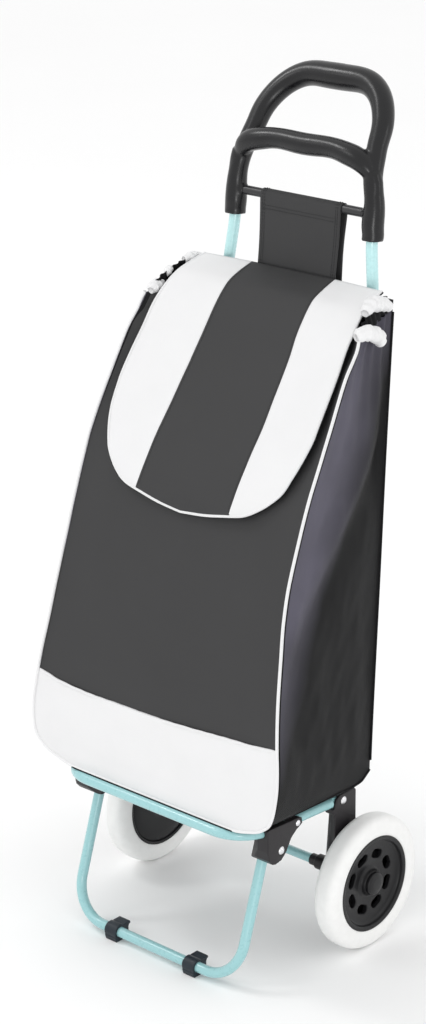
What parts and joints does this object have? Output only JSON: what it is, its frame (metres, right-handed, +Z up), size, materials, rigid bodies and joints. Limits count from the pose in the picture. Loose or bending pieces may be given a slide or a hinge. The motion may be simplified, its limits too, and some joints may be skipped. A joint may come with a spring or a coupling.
{
  "type": "folding shopping trolley",
  "caption": "Upright two-wheeled shopping trolley: a tapered cloth bag with a front flap on a folding tube frame with a front leg and a looped handle.",
  "frame": {"origin": "on the floor under the middle of the trolley's bounding box, standing on its wheels and front leg", "axes": "+Z up, the bag's front and the leg face -Y, the handle leans back towards +Y, +X along the axle, to the right of someone facing the bag's front"},
  "size_m": [0.3694, 0.3474, 0.9643],
  "materials": {
    "teal_tube": "gloss powder coat",
    "handle_plastic": "satin moulded",
    "black_moulding": "moulded",
    "black_bar": "satin",
    "bright_steel": "polished",
    "charcoal_fabric": "coated woven cloth",
    "black_fabric": "coated woven cloth",
    "white_fabric": "coated woven cloth",
    "white_piping": "bound cord",
    "white_foam": "smooth closed-cell foam",
    "hub_plastic": "moulded",
    "board": "hardboard"
  },
  "bodies": {
    "frame": {"upright_left": "teal_tube", "upright_right": "teal_tube", "handle_grip": "handle_plastic", "handle_screws": "bright_steel", "hanger_bar": "black_bar", "hanging_loop": "charcoal_fabric", "rear_bracket_left": "black_moulding", "rear_bracket_right": "black_moulding", "axle_rod": "bright_steel", "axle_tube": "teal_tube", "axle_sleeves": "black_moulding", "axle_washers": "bright_steel", "axle_push_nuts": "bright_steel", "catch_bar": "teal_tube", "platform_rivets": "bright_steel", "bag_front_band": "white_fabric", "bag_front_panel": "charcoal_fabric", "bag_back_panel": "charcoal_fabric", "bag_side_left": "black_fabric", "bag_side_right": "black_fabric", "bag_base": "black_fabric", "piping_left": "white_piping", "piping_right": "white_piping", "bag_collar": "black_fabric"},
    "platform": {"platform_tube": "teal_tube", "front_bracket_left": "black_moulding", "front_bracket_right": "black_moulding", "leg_rivets": "bright_steel", "bracket_rivets": "bright_steel", "base_board": "board"},
    "leg": {"leg_tube": "teal_tube", "leg_clip_left": "black_moulding", "leg_clip_right": "black_moulding"},
    "wheel_left": {"tyre_left": "white_foam", "hub_left": "hub_plastic", "hub_cap_left": "hub_plastic"},
    "wheel_right": {"tyre_right": "white_foam", "hub_right": "hub_plastic", "hub_cap_right": "hub_plastic"},
    "flap": {"flap_center": "charcoal_fabric", "flap_side_left": "white_fabric", "flap_side_right": "white_fabric"}
  },
  "joints": [
    {"name": "platform_fold", "type": "hinge", "parent": "frame", "child": "platform", "pos_m": [0, -0.00275, 0.18], "axis": [-1, 0, 0], "range_deg": [0, 90], "deforming": ["bag_front_band", "bag_front_panel", "bag_back_panel", "bag_side_left", "bag_side_right", "bag_base", "piping_left", "piping_right", "bag_collar"]},
    {"name": "leg_fold", "type": "hinge", "parent": "platform", "child": "leg", "pos_m": [0, -0.11375, 0.163], "axis": [1, 0, 0], "range_deg": [0, 120.52]},
    {"name": "wheel_left_spin", "type": "hinge", "parent": "frame", "child": "wheel_left", "pos_m": [-0.1615, 0.01525, 0.079], "axis": [1, 0, 0], "continuous": true},
    {"name": "wheel_right_spin", "type": "hinge", "parent": "frame", "child": "wheel_right", "pos_m": [0.1615, 0.01525, 0.079], "axis": [1, 0, 0], "continuous": true},
    {"name": "flap_lift", "type": "hinge", "parent": "frame", "child": "flap", "pos_m": [0, 0.08225, 0.748], "axis": [-1, 0, 0], "range_deg": [0, 75]}
  ],
  "couplings": [
    {"joint": "leg_fold", "follows": "platform_fold", "ratio": 1.339}
  ]
}
